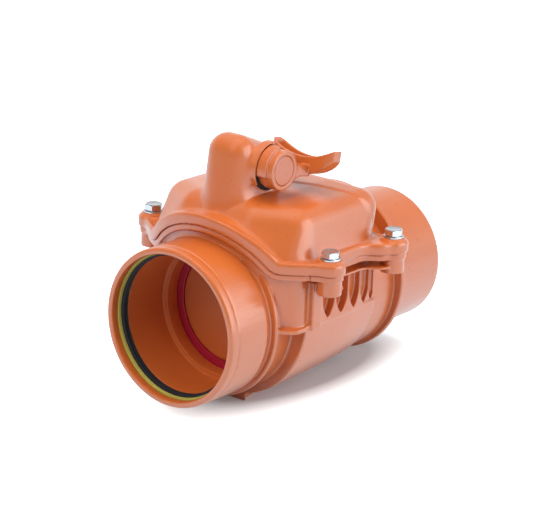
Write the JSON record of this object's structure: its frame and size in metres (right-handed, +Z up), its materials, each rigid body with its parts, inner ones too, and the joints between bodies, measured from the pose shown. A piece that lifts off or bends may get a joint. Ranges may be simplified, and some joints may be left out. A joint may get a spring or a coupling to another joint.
{
  "type": "sewer backwater valve",
  "caption": "Drain backwater valve with push-fit inlet socket, outlet spigot, hinged inner flap, bolted domed cover and a side lever that locks the flap.",
  "frame": {"origin": "on the pipe axis, at the stop inside the inlet socket where the incoming pipe ends", "axes": "+X along the pipe axis, downstream; +Z up, towards the cover; +Y to the left, looking downstream"},
  "size_m": [0.276, 0.2, 0.2119],
  "materials": {
    "terracotta": "satin moulded plastic",
    "black_rubber": "matt",
    "olive_plastic": "satin",
    "crimson_rubber": "satin",
    "zinc": "bright zinc plating",
    "steel": "turned"
  },
  "bodies": {
    "housing": {"valve_body": "terracotta", "inlet_lip_seal": "black_rubber", "seal_retainer": "olive_plastic", "cover": "terracotta", "cover_gasket": "black_rubber", "cover_bolts": "zinc", "cover_washers": "zinc", "cover_nuts": "zinc", "hinge_pin": "steel", "hinge_clips": "steel", "hub_seal": "black_rubber"},
    "flap": {"flap": "terracotta", "flap_seal": "crimson_rubber", "hinge_bushes": "olive_plastic"},
    "lock": {"lever": "terracotta", "lever_cap": "terracotta", "lever_screw": "zinc", "lock_shaft": "steel", "lock_finger": "terracotta", "finger_pin": "steel", "shaft_o_rings": "black_rubber", "shaft_washers": "steel", "shaft_clip": "steel"}
  },
  "joints": [
    {"name": "flap_swing", "type": "hinge", "parent": "housing", "child": "flap", "pos_m": [0.0155, 0, 0.071], "axis": [0, -1, 0], "range_deg": [0, 50]},
    {"name": "lever_turn", "type": "hinge", "parent": "housing", "child": "lock", "pos_m": [0.0285, 0, 0.114], "axis": [0, -1, 0], "range_deg": [0, 100]}
  ]
}
